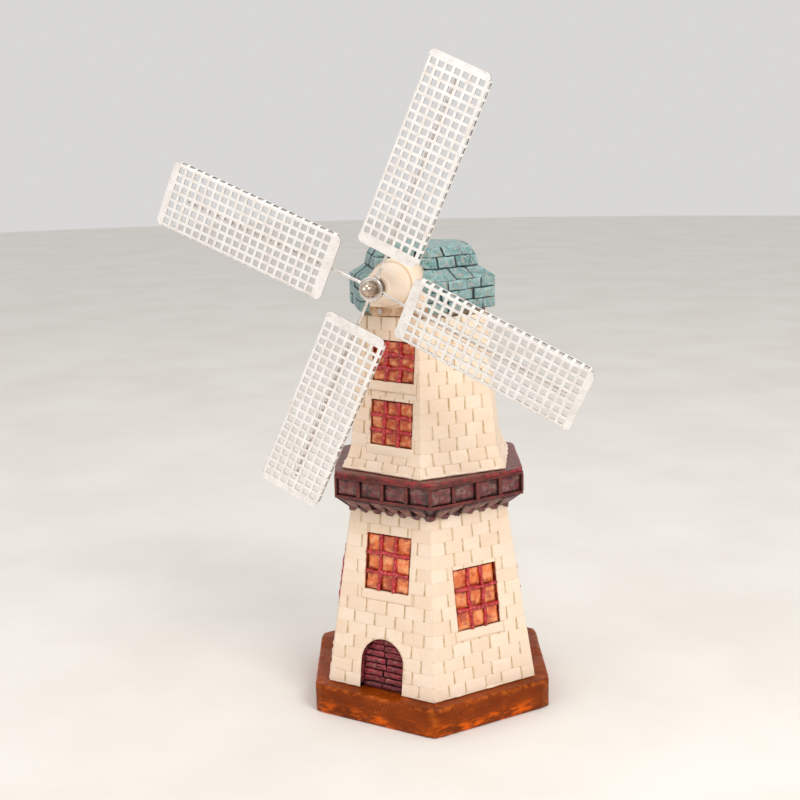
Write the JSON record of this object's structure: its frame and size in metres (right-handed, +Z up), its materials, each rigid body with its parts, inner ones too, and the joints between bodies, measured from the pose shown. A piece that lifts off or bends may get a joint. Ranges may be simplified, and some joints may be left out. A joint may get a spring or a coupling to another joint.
{
  "type": "windmill ornament",
  "caption": "Hand-painted cast windmill ornament: hexagonal brick tower with gallery and tiled cap, and a rotor of perforated metal sails that spins freely on a stud.",
  "frame": {"origin": "centre of the felt pad's underside, on the axis of the six-sided tower", "axes": "+Z up the tower, -Y to the front with the door and the rotor, +X to the right seen from the front"},
  "size_m": [0.1755, 0.1214, 0.2702],
  "materials": {
    "cream": "hand-painted matt resin",
    "maroon": "hand-painted satin resin, dry-brushed crimson",
    "teal": "hand-painted matt resin with dark washes",
    "rust_brown": "satin resin with rubbed orange edges",
    "pane_orange": "hand-painted satin resin",
    "crimson": "hand-painted gloss resin",
    "door_red": "hand-painted resin, dry-brushed",
    "bare_grey": "unpainted grey resin",
    "felt": "felt",
    "nickel": "polished nickel plate",
    "wire": "bright drawn wire",
    "brass": "turned",
    "sail_white": "thin white paint on perforated steel sheet"
  },
  "bodies": {
    "tower": {"felt_pad": "felt", "plinth": "rust_brown", "lower_tower": "cream", "front_door": "door_red", "gallery": "maroon", "upper_tower": "cream", "lower_front_window_panes": "pane_orange", "lower_front_window_lattice": "crimson", "lower_right_window_panes": "pane_orange", "lower_right_window_lattice": "crimson", "lower_rear_right_window_panes": "pane_orange", "lower_rear_right_window_lattice": "crimson", "lower_rear_window_panes": "pane_orange", "lower_rear_window_lattice": "crimson", "lower_rear_left_window_panes": "pane_orange", "lower_rear_left_window_lattice": "crimson", "lower_left_window_panes": "pane_orange", "lower_left_window_lattice": "crimson", "top_front_window_panes": "pane_orange", "top_front_window_lattice": "crimson", "middle_front_window_panes": "pane_orange", "middle_front_window_lattice": "crimson", "cap_collar": "bare_grey", "collar_screw": "nickel", "cap": "teal", "windshaft_boss": "cream", "rotor_stud": "wire", "back_washer": "nickel", "front_washer": "nickel", "acorn_nut": "nickel"},
    "rotor": {"hub_disc": "nickel", "hub_bush": "brass", "top_spoke": "wire", "top_sail": "sail_white", "right_spoke": "wire", "right_sail": "sail_white", "bottom_spoke": "wire", "bottom_sail": "sail_white", "left_spoke": "wire", "left_sail": "sail_white"}
  },
  "joints": [
    {"name": "rotor_spin", "type": "hinge", "parent": "tower", "child": "rotor", "pos_m": [0.00771, -0.05455, 0.183], "axis": [0.165, -0.9863, 0], "continuous": true}
  ]
}
